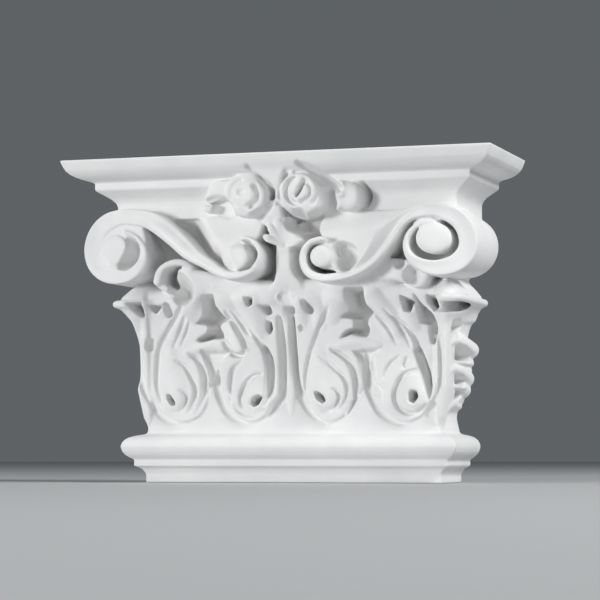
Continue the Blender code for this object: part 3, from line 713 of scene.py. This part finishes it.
def blend_scroll(field, rows, back, edge, fillet, mirrored):
    """The band of one scroll: a thin crest with a falling outer side, fluted on the right."""
    path = curve(rows)
    front = scroll_face(path[:, 0])
    if mirrored:
        path[:, 0] *= -1.0
    path = np.column_stack([path, front])
    across, up = plane_window(path, 22.0, XS, ZS)
    gap, (inside, outside, fall, front), turn = along_path(path, XS[across], ZS[up], sides=True)
    offset = gap * (turn if mirrored else -turn)
    share = ramp(offset, -1.5, 1.5)
    half = inside + (outside - inside) * share
    place = offset / outside
    drop = fall * ramp(place, 0.12, 0.75)
    if not mirrored:
        drop = fall * np.interp(place, *FLUTE)
    dish = 1.3 * np.clip(1.0 - (gap / np.maximum(half, 1.0)) ** 2, 0.0, 1.0) * ramp(inside, 3.0, 6.0)
    top = front - drop - dish
    out = window(DS, back - 2.0, float(front.max()) + fillet + 2.0)
    ds = DS[out][None, :, None]
    band = smooth_max((gap - half)[:, None, :], (ds - top[:, None, :]) * 0.85, edge)
    band = np.maximum(band, back - ds).astype(np.float32)
    field[across, out, up] = smooth_min(field[across, out, up], band, fillet)


def volute_roll(field, mirrored, middle, radius, boss_middle, boss_half, sink):
    """Roll of one volute back to the wall, and the round boss in its eye."""
    ex, ez = middle
    centre = -ex if mirrored else ex
    across = window(XS, centre - 42.0, centre + 42.0)
    up = window(ZS, ez - 40.0, ez + 40.0)
    x = np.abs(XS[across])[:, None, None]
    z = ZS[up][None, None, :]
    d = DS[None, :, None]
    face = scroll_face(x)
    waist = 1.6 * np.sin(np.clip((d - 20.0) / 60.0, 0.0, 1.0) * math.pi)
    widen = 2.4 * ramp(d, 66.0, 88.0)
    roll = smooth_max(np.hypot(x - ex, z - ez) - radius + waist - widen, d - (face - sink), 3.0)
    bx, bz = boss_middle
    hx, hz = boss_half
    boss_gap = np.hypot((x - bx) / hx, (z - bz) / hz)
    dome = face + 0.8 - 2.0 * np.clip(boss_gap, 0.0, 1.2) ** 4
    boss = smooth_max((boss_gap - 1.0) * hz, d - dome, 1.6)
    whole = smooth_min(roll, boss, 1.2)
    whole = np.maximum(whole, -d).astype(np.float32)
    field[across, :, up] = smooth_min(field[across, :, up], whole, 2.0)


def scrolls(field):
    """Both S scrolls, their rolls back to the wall and their round bosses."""
    for mirrored, outline, level, lean, foot, fall in BODIES:
        blend_body(field, outline, level, lean, foot, fall, mirrored)
    for mirrored, (cx, cz), radius, _, _ in CURLS:
        disc = [(cx + 1.0, cz + 0.5, radius + 1.0, 95.0), (cx + 11.0, cz - 1.0, radius - 1.0, 93.0)]
        blend_ridge(field, disc, STROKE_BACK, 7.0, 9.0, mirrored)
    for mirrored, rows, middle, radius, boss_middle, boss_half, sink in VOLUTES:
        volute_roll(field, mirrored, middle, radius, boss_middle, boss_half, sink)
        blend_scroll(field, rows, STROKE_BACK, 2.2, 2.0, mirrored)
    for mirrored, (cx, cz), radius, fillet, hollow in CURLS:
        blend_hollow(field, hollow, 4.0, 1.5, mirrored)
        knob = [(cx - 0.6, cz, radius - 0.6, 102.0), (cx + 0.6, cz, radius - 0.6, 102.0)]
        blend_ridge(field, knob, 80.0, 5.0, fillet, mirrored)
    blend_ridge(field, RIGHT_EYE_CAP, 60.0, 2.0, 2.0)
    blend_hollow(field, LEFT_EYE_CRESCENT, 4.0, 1.5, True)


# Rays of the fan on the stem, as (lean in degrees, length)
FAN_RAYS = [(-62.0, 19.0), (-36.0, 22.0), (-14.0, 25.0), (6.0, 24.0), (24.0, 22.0), (46.0, 18.0),
            (68.0, 15.0)]
FAN_FOOT = (4.0, 190.0)
# Section of a ray, as (share of its length, half width, depth of its front)
RAY_SECTION = [(0.2, 1.6, 90.0), (0.5, 2.6, 93.0), (0.8, 3.2, 96.0), (0.95, 2.4, 95.0)]


def stem_and_palmette(field):
    """Stem between the curls, and the fan of flutes on top of it."""
    stem = [(2.5, 153, 10, 76), (2.0, 160, 12.0, 82), (1.0, 170, 7.0, 86), (0.8, 184, 6.0, 88),
            (2.0, 194, 6.5, 88)]
    blend_ridge(field, stem, STROKE_BACK, 2.5, 4.0)
    blend_ridge(field, [(-4, 221, 7, 99), (-5, 213, 9, 95), (-3, 206, 7, 91)], 50.0, 4.0, 3.0)
    foot_x, foot_z = FAN_FOOT
    for lean, length in FAN_RAYS:
        lean_x = math.sin(math.radians(lean))
        lean_z = math.cos(math.radians(lean))
        rows = [
            (foot_x + lean_x * length * share, foot_z + lean_z * length * share, half, front)
            for share, half, front in RAY_SECTION
        ]
        blend_ridge(field, rows, 50.0, 2.4, 1.0)
    blend_hollow(field, [(14, 210, 4, 76), (24, 208, 6, 74), (30, 203, 4, 74)], 3.0, 2.0)


def arc(cx, cz, radius, start, end, half, depth):
    """Rows along part of a circle, angles in degrees from the right hand."""
    angles = np.radians(np.linspace(start, end, 9))
    return [(cx + radius * math.cos(a), cz + radius * math.sin(a), half, depth) for a in angles]


def rose(field, cx, cz, radius, front, grooves):
    """Rose under the abacus: a shallow dome with the petals cut into it."""
    across = window(XS, cx - radius - 6, cx + radius + 6)
    up = window(ZS, cz - radius - 6, cz + radius + 6)
    xs = XS[across]
    zs = ZS[up]
    x = xs[:, None] - cx
    z = zs[None, :] - cz
    gap = np.hypot(x, z)
    angle = np.arctan2(z, x)
    top = front - 3.5 * (gap / radius) ** 2
    for rows in grooves:
        path = curve(rows)
        near, (half, depth) = along_path(path, xs, zs)
        top -= 1.3 * depth * (1.0 - ramp(near / half, 0.25, 1.4))
    rim = radius * (1.0 + 0.03 * np.cos(5.0 * angle + cx))
    slope_x, slope_z = np.gradient(top, STEP)
    steep = np.sqrt(1.0 + slope_x**2 + slope_z**2)
    d = DS[None, :, None]
    petals = smooth_max((gap - rim)[:, None, :], (d - top[:, None, :]) / steep[:, None, :], 3.0)
    petals = np.maximum(petals, FLOWER_BACK - d).astype(np.float32)
    field[across, :, up] = smooth_min(field[across, :, up], petals, 1.5)


LEFT_ROSE = (-25.6, 231.6)
RIGHT_ROSE = (21.2, 233.0)
FLOWER_BACK = 70.0
# Strokes of the flowers, as rows of (x, z, half width, depth)
MIDDLE_LEAF = [(-2, 257, 15, 113), (-1, 247, 11, 112), (1, 236, 4, 110), (0, 226, 3, 106)]
BUD = [(54, 229.5, 11.5, 105), (60, 228.5, 11.5, 103)]
BUD_SEPALS = [
    [(46, 237, 2.6, 104), (51, 238, 3, 107), (56, 237, 2, 106)],
    [(45, 229, 2.6, 104), (50, 229.5, 3, 107), (56, 229, 2, 106.5)],
    [(47, 221, 2.6, 103), (52, 220.5, 3, 105)],
]
BUD_SHADE = [(71, 238, 0.5, 80), (73.6, 230, 1.0, 74), (71, 221, 0.5, 80)]
SMALL_LEAF = [(-38, 239, 6, 103), (-50, 237, 7, 102), (-60, 231, 4, 97)]
SMALL_LEAF_EDGE = [(-63, 223, 3, 95), (-55, 222, 3, 95)]
SMALL_LEAF_FOLD = [(-63, 227.5, 0.8, 92), (-55, 229.5, 1.3, 92), (-46, 226.5, 1.6, 92),
                   (-40, 222, 1.4, 92)]
SMALL_LEAF_HOLLOW = [(-52, 220, 2.5, 84), (-45, 219, 3.5, 84)]
# Shade lines round the roses
ROSE_SHADES = [
    [(-20, 253, 0.8, 108), (-11, 243, 1.2, 101), (-3.6, 236, 1.4, 97), (-3, 229, 1.4, 97),
     (-7, 220, 1.4, 95), (-17, 213, 1.2, 90)],
    [(0, 228, 0.8, 104), (5, 220, 1.3, 98), (12, 214, 1.8, 92), (20, 211, 2.4, 84)],
    [(23, 254, 0.8, 108), (33, 248, 1.6, 98), (41, 242, 2.4, 90), (48, 237, 2, 88), (52, 235, 1.2, 90)],
    [(44, 232, 1.6, 86), (45, 222, 2.2, 84)],
]


def flowers(field):
    """Two roses, the bud, the small leaf and the leaf between the roses."""
    blend_ridge(field, MIDDLE_LEAF, FLOWER_BACK, 3.0, 2.0)
    x, z = LEFT_ROSE
    petals = [
        arc(x, z, 10.6, -65.0, 35.0, 2.6, 5.0),
        arc(x, z, 11.4, 100.0, 235.0, 2.0, 1.6),
        [(x - 3.0, z + 1.5, 3.0, 2.4), (x - 1.5, z + 1.5, 3.0, 2.4)],
    ]
    rose(field, x, z, 18.0, 109.5, petals)
    x, z = RIGHT_ROSE
    petals = [
        arc(x, z, 10.4, 105.0, 255.0, 2.2, 4.2),
        arc(x - 1.0, z, 16.4, 125.0, 240.0, 1.9, 3.6),
        arc(x, z, 9.6, -75.0, 60.0, 2.0, 3.6),
        arc(x, z, 15.8, -40.0, 100.0, 1.8, 2.6),
        [(x - 1.8, z - 3.6, 1.7, 8.0), (x + 1.0, z + 1.0, 2.2, 9.0), (x + 3.4, z + 5.4, 1.6, 8.0)],
    ]
    rose(field, x, z, 20.6, 111.0, petals)
    blend_ridge(field, BUD, FLOWER_BACK, 7.0, 1.0)
    for rows in BUD_SEPALS:
        blend_ridge(field, rows, FLOWER_BACK, 2.5, 1.0)
    blend_hollow(field, BUD_SHADE, 8.0, 1.0)
    blend_ridge(field, SMALL_LEAF, FLOWER_BACK, 4.0, 1.5)
    blend_ridge(field, SMALL_LEAF_EDGE, FLOWER_BACK, 2.5, 1.5)
    blend_hollow(field, SMALL_LEAF_FOLD, 3.0, 1.5)
    blend_hollow(field, SMALL_LEAF_HOLLOW, 3.0, 2.0)
    for rows in ROSE_SHADES:
        blend_hollow(field, rows, 4.0, 1.2)


# Section of the curled leaf top, as rows of (projection, height, half thickness)
LIP_SECTION = [
    (0, 110, 5),
    (3, 124, 5.4),
    (6, 134, 6.2),
    (11, 141.5, 6.2),
    (17, 146, 4.6),
    (21.6, 147, 3.2),
]
LIP_BACK = [(14.0, 150.0, 5.6), (7.0, 156.0, 6.8), (0.0, 161.0, 6.0)]
# The lip comes out of the leaf between a start and where it stands full
LIP_START_LEFT = 94.0
LIP_START_RIGHT = 108.0
LIP_FULL = 134.0
LIP_SINK = 26.0
# Undercut below the right lip: its middle, its climb towards the wall, its radius
LIP_HOLLOW = (14.0, 144.0)
LIP_HOLLOW_CLIMB = 0.085
LIP_HOLLOW_RADIUS = 7.2
# Hollows under the edge of the left lip: depth of the floor, then the outline
LEFT_LIP_VOIDS = [
    (60, [(-136.5, 148), (-124, 148.6), (-123, 135), (-127.5, 136), (-133.7, 142.7)]),
    (64, [(-121, 148), (-105.5, 147), (-108.8, 143), (-114.1, 137.3), (-119.5, 140.7)]),
]


def lip_table(e, z):
    """Field of the curled leaf top's section over projection and height."""
    best = np.full((len(e), len(z)), 1e3)
    for rows in (LIP_SECTION, LIP_BACK):
        gap, (half,) = along_path(curve(rows), e, z)
        best = np.minimum(best, gap - half)
    return best


def corner_lips(field):
    """Curled top of the corner leaves, round from the front on to the returns."""
    up = window(ZS, 100.0, 176.0)
    projections = np.arange(-40.0, 70.0, STEP)
    table = lip_table(projections, ZS[up])
    out = smooth_max(np.abs(XS)[:, None] - SHAFT_HALF, DS[None, :] - SHAFT_DEPTH, 9.0)
    start = np.where(XS < 0.0, LIP_START_LEFT, LIP_START_RIGHT)
    along = ramp((np.abs(XS) - start) / (LIP_FULL - start), 0.0, 1.0)
    away = LIP_SINK * (1.0 - along)[:, None]
    lip = from_table(table, projections, out + away)
    inside = (np.abs(XS) > LIP_START_LEFT - 2.0)[:, None, None]
    lip = np.maximum(lip, -DS[None, :, None])
    lip = np.where(inside, lip, 50.0).astype(np.float32)
    field[:, :, up] = smooth_min(field[:, :, up], lip, 2.5)
    # undercut below the right tip, round the corner and back along the return
    rise = LIP_HOLLOW[1] + LIP_HOLLOW_CLIMB * (SHAFT_DEPTH - DS)
    gap = np.hypot(out[:, :, None] - LIP_HOLLOW[0], ZS[up][None, None, :] - rise[None, :, None])
    radius = LIP_HOLLOW_RADIUS * ramp(XS, 114.0, 126.0)[:, None, None]
    radius = radius * (0.25 + 0.75 * ramp(DS, 4.0, 56.0))[None, :, None]
    cut = np.where(radius > 0.5, radius - gap, -50.0).astype(np.float32)
    field[:, :, up] = smooth_max(field[:, :, up], cut, 1.0)
    for floor, outline in LEFT_LIP_VOIDS:
        blend_void(field, outline, floor)


def calyxes(field):
    """Fill behind the scrolls' feet, and the small leaves beside the volutes."""
    for mirrored in (False, True):
        front = 83.0 if mirrored else 80.0
        rows = [
            (86, 168, 8, front),
            (70, 164, 9, front),
            (55, 159, 9, front - 2),
            (35, 156, 9, front - 3),
            (15, 156, 9, front - 3),
        ]
        blend_ridge(field, rows, STROKE_BACK, 7.0, 9.0, mirrored)
    # left: a small curled cup
    blend_ridge(field, [(86, 166, 8, 84), (78, 158, 8, 82)], STROKE_BACK, 5.0, 6.0, True)
    rim = [(108, 165, 3.6, 89), (105, 174, 3.2, 89), (96, 179.5, 2.8, 89), (87, 180, 2.6, 88),
           (81, 176, 2.6, 84)]
    blend_ridge(field, rim, STROKE_BACK, 3.0, 2.5, True)
    blend_ridge(field, [(106, 161.5, 3, 84), (101, 158, 2.4, 84)], STROKE_BACK, 2.5, 3.0, True)
    cup = [(97, 171.5, 2.0, 80), (92, 166, 4.0, 73), (89, 158.5, 3.6, 62), (89.5, 154, 2.2, 58)]
    blend_hollow(field, cup, 2.8, 2.0, True)
    blend_hollow(field, [(100, 153, 0.8, 75), (91, 152.4, 1.3, 72), (83, 152, 1.3, 70)], 3.0, 1.2, True)
    blend_hollow(field, [(77, 178.4, 1.4, 82), (75.5, 177, 1.4, 82)], 3.0, 1.0, True)
    blend_hollow(field, [(68.5, 174, 1.2, 83), (65, 169.5, 1.2, 83)], 3.0, 1.0, True)
    # right: fuller, with two shallow dimples
    blend_ridge(field, [(84, 170, 8, 84), (98, 170, 9, 87), (113, 164, 9, 85)], STROKE_BACK, 5.0, 3.0)
    blend_hollow(field, [(98.0, 176.5, 2.0, 78), (98.5, 174.5, 2.0, 78)], 3.0, 1.5)
    blend_hollow(field, [(108.0, 167.0, 2.6, 74), (108.5, 163.0, 2.8, 74)], 3.0, 1.5)


def soften(field):
    """Blur the field by one node, as a cast softens its carving."""
    for axis in range(3):
        moved = np.moveaxis(field, axis, 0)
        middle = moved[1:-1] * 0.5 + (moved[:-2] + moved[2:]) * 0.25
        moved[1:-1] = middle


def surface(field):
    """Quads drawn through the zero level of the field, one point in each crossed cell."""
    inside = field < 0.0
    nx, nd, nz = field.shape
    count = np.zeros((nx - 1, nd - 1, nz - 1), dtype=np.int8)
    for i in (0, 1):
        for j in (0, 1):
            for k in (0, 1):
                count += inside[i : nx - 1 + i, j : nd - 1 + j, k : nz - 1 + k]
    crossed = (count > 0) & (count < 8)
    cells = np.argwhere(crossed)
    number = np.full(crossed.shape, -1, dtype=np.int32)
    number[crossed] = np.arange(len(cells), dtype=np.int32)
    total = np.zeros((len(cells), 3))
    hits = np.zeros(len(cells))
    corners = [np.array(c) for c in np.ndindex(2, 2, 2)]
    for corner in corners:
        for axis in range(3):
            if corner[axis]:
                continue
            other = corner.copy()
            other[axis] = 1
            a = field[tuple((cells + corner).T)]
            b = field[tuple((cells + other).T)]
            cut = (a < 0.0) != (b < 0.0)
            share = np.where(cut, a / np.where(cut, a - b, 1.0), 0.0)
            place = np.tile(corner.astype(float), (len(cells), 1))
            place[:, axis] += share
            total += place * cut[:, None]
            hits += cut
    points = cells + total / hits[:, None]
    faces = []
    for axis in range(3):
        one, two = [a for a in range(3) if a != axis]
        low = [slice(1, -1)] * 3
        low[axis] = slice(0, -1)
        high = list(low)
        high[axis] = slice(1, None)
        a = inside[tuple(low)]
        b = inside[tuple(high)]
        edges = np.argwhere(a != b)
        flips = a[a != b]
        base = edges + 1
        base[:, axis] -= 1
        ring = []
        for back_one, back_two in ((1, 1), (0, 1), (0, 0), (1, 0)):
            cell = base.copy()
            cell[:, one] -= back_one
            cell[:, two] -= back_two
            ring.append(number[tuple(cell.T)])
        quad = np.stack(ring, axis=1)
        turn = flips if axis != 1 else ~flips
        quad[~turn] = quad[~turn][:, ::-1]
        faces.append(quad)
    return points, np.vstack(faces)


# How far the carving stays inside the solid's box
BOX_INSET = 0.15


def carved_field():
    """The whole capital as one field of distances, below zero inside."""
    field = moulded_body().astype(np.float32)
    leaf_block(field)
    corner_lips(field)
    calyxes(field)
    stem_and_palmette(field)
    scrolls(field)
    flowers(field)
    for outline in LEAF_SHADES:
        blend_void(field, outline, SHADE_FLOOR, SHADE_SLOPE)
    for floor, outline in LEAF_VOIDS:
        blend_void(field, outline, floor)
    for outline in SIDE_VOIDS:
        side_void(field, outline)
    soften(field)
    reach = SHAFT_HALF + ABACUS_REACH - BOX_INSET
    np.maximum(field, np.abs(XS)[:, None, None] - reach, out=field)
    np.maximum(field, np.abs(DS - DEPTH / 2)[None, :, None] - (DEPTH / 2 - BOX_INSET), out=field)
    np.maximum(field, np.abs(ZS - HEIGHT / 2)[None, None, :] - (HEIGHT / 2 - BOX_INSET), out=field)
    return field


def mesh_object(name, points, faces):
    """Blender object from arrays of points in metres and quads."""
    mesh = bpy.data.meshes.new(name)
    mesh.vertices.add(len(points))
    mesh.vertices.foreach_set("co", points.astype(np.float32).ravel())
    mesh.loops.add(faces.size)
    mesh.loops.foreach_set("vertex_index", faces.astype(np.int32).ravel())
    mesh.polygons.add(len(faces))
    mesh.polygons.foreach_set("loop_start", np.arange(0, faces.size, 4, dtype=np.int32))
    mesh.update(calc_edges=True)
    mesh.validate()
    piece = bpy.data.objects.new(name, mesh)
    bpy.context.scene.collection.objects.link(piece)
    return piece


def carved_capital():
    """The carved surface as one mesh with few enough triangles."""
    points, faces = surface(carved_field())
    place = np.empty_like(points)
    place[:, 0] = (XS[0] + points[:, 0] * STEP) * MM
    place[:, 1] = (WALL_Y - (DS[0] + points[:, 1] * STEP)) * MM
    place[:, 2] = (ZS[0] + points[:, 2] * STEP) * MM
    piece = mesh_object("carved_capital", place, faces)
    triangles = len(faces) * 2
    if triangles > MOST_TRIANGLES:
        thin = piece.modifiers.new("thin", "DECIMATE")
        thin.ratio = MOST_TRIANGLES / triangles
        bake_modifiers(piece)
    for polygon in piece.data.polygons:
        polygon.use_smooth = True
    return piece


def bake_modifiers(piece):
    """Replace the object's mesh with its evaluated one."""
    depsgraph = bpy.context.evaluated_depsgraph_get()
    mesh = bpy.data.meshes.new_from_object(piece.evaluated_get(depsgraph))
    piece.modifiers.clear()
    piece.data = mesh


PLASTER_DARK = (0.80, 0.80, 0.80, 1)
PLASTER_PALE = (0.86, 0.855, 0.85, 1)


def plaster_material():
    """Matt cast plaster: faint cloudy colour, fine pores and a soft tooth."""
    material = bpy.data.materials.new("plaster")
    material.use_nodes = True
    nodes = material.node_tree.nodes
    links = material.node_tree.links
    shader = nodes["Principled BSDF"]
    shader.inputs["Roughness"].default_value = 0.72
    shader.inputs["Specular IOR Level"].default_value = 0.3
    place = nodes.new("ShaderNodeTexCoord")
    cloud = nodes.new("ShaderNodeTexNoise")
    cloud.inputs["Scale"].default_value = 28.0
    cloud.inputs["Detail"].default_value = 5.0
    tint = nodes.new("ShaderNodeValToRGB")
    tint.color_ramp.elements[0].position = 0.35
    tint.color_ramp.elements[0].color = PLASTER_DARK
    tint.color_ramp.elements[1].position = 0.65
    tint.color_ramp.elements[1].color = PLASTER_PALE
    grain = nodes.new("ShaderNodeTexNoise")
    grain.inputs["Scale"].default_value = 900.0
    grain.inputs["Detail"].default_value = 4.0
    bump = nodes.new("ShaderNodeBump")
    bump.inputs["Strength"].default_value = 0.12
    bump.inputs["Distance"].default_value = 0.0004
    links.new(place.outputs["Object"], cloud.inputs["Vector"])
    links.new(place.outputs["Object"], grain.inputs["Vector"])
    links.new(cloud.outputs["Fac"], tint.inputs["Fac"])
    links.new(tint.outputs["Color"], shader.inputs["Base Color"])
    links.new(grain.outputs["Fac"], bump.inputs["Height"])
    links.new(bump.outputs["Normal"], shader.inputs["Normal"])
    return material


def plain_material(name, colour):
    """Plain matt material for the floor."""
    material = bpy.data.materials.new(name)
    material.use_nodes = True
    shader = material.node_tree.nodes["Principled BSDF"]
    shader.inputs["Base Color"].default_value = (*colour, 1)
    shader.inputs["Roughness"].default_value = 0.9
    return material


# Camera, from the straight edges of the abacus and the base in the photograph
CAMERA_TURN = math.radians(18.309)
CAMERA_TILT = math.radians(-3.717)
CAMERA_DISTANCE = 1.9453
CAMERA_TARGET = Vector((0.00660, 0.0, 0.14897))
CAMERA_LENS = 142.96
CAMERA_SENSOR = 36.0


def add_camera():
    """Camera at the photograph's viewing angle."""
    back = Vector(
        (
            math.sin(CAMERA_TURN) * math.cos(CAMERA_TILT),
            -math.cos(CAMERA_TURN) * math.cos(CAMERA_TILT),
            math.sin(CAMERA_TILT),
        )
    )
    place = CAMERA_TARGET + back * CAMERA_DISTANCE
    right = (-back).cross(Vector((0, 0, 1))).normalized()
    up = right.cross(-back)
    lens = bpy.data.cameras.new("camera")
    lens.lens = CAMERA_LENS
    lens.sensor_width = CAMERA_SENSOR
    lens.clip_end = 50.0
    camera = bpy.data.objects.new("camera", lens)
    camera.matrix_world = Matrix(
        (
            (right.x, up.x, back.x, place.x),
            (right.y, up.y, back.y, place.y),
            (right.z, up.z, back.z, place.z),
            (0, 0, 0, 1),
        )
    )
    bpy.context.scene.collection.objects.link(camera)
    bpy.context.scene.camera = camera


def add_light(name, place, size, energy):
    """Soft area light aimed at the middle of the capital."""
    light = bpy.data.lights.new(name, "AREA")
    light.energy = energy
    light.size = size
    lamp = bpy.data.objects.new(name, light)
    lamp.location = place
    aim = LIGHT_AIM - Vector(place)
    lamp.rotation_euler = aim.to_track_quat("-Z", "Y").to_euler()
    lamp.visible_camera = False
    bpy.context.scene.collection.objects.link(lamp)


FLOOR_RADIUS = 6.0
FLOOR_COLOUR = (0.55, 0.56, 0.57)
WORLD_COLOUR = (0.113, 0.123, 0.130, 1)
# Each light: name, place, size, power
LIGHTS = [
    ("key", (-1.5, -2.3, 0.36), 0.5, 41.0),
    ("front", (0.9, -2.7, 0.15), 1.6, 6.0),
    ("right", (2.2, -0.6, 1.80), 0.9, 60.0),
    ("left", (-2.5, -0.6, 0.6), 2.0, 8.0),
]
LIGHT_AIM = Vector((0.0, 0.0, 0.14))


def add_studio():
    """Plain pale floor and plain soft studio light."""
    shape = bmesh.new()
    bmesh.ops.create_circle(shape, cap_ends=True, segments=64, radius=FLOOR_RADIUS)
    mesh = bpy.data.meshes.new("floor")
    shape.to_mesh(mesh)
    shape.free()
    floor = bpy.data.objects.new("floor", mesh)
    bpy.context.scene.collection.objects.link(floor)
    floor.data.materials.append(plain_material("floor", FLOOR_COLOUR))
    world = bpy.data.worlds.new("studio")
    scene = bpy.context.scene
    scene.world = world
    world.use_nodes = True
    world.node_tree.nodes["Background"].inputs["Color"].default_value = WORLD_COLOUR
    world.node_tree.nodes["Background"].inputs["Strength"].default_value = 1.0
    for name, place, size, energy in LIGHTS:
        add_light(name, place, size, energy)
    scene.view_settings.view_transform = "Standard"


add_camera()
capital = carved_capital()
capital.data.materials.clear()
capital.data.materials.append(plaster_material())
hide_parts("capital")
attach(capital, "root")
add_studio()
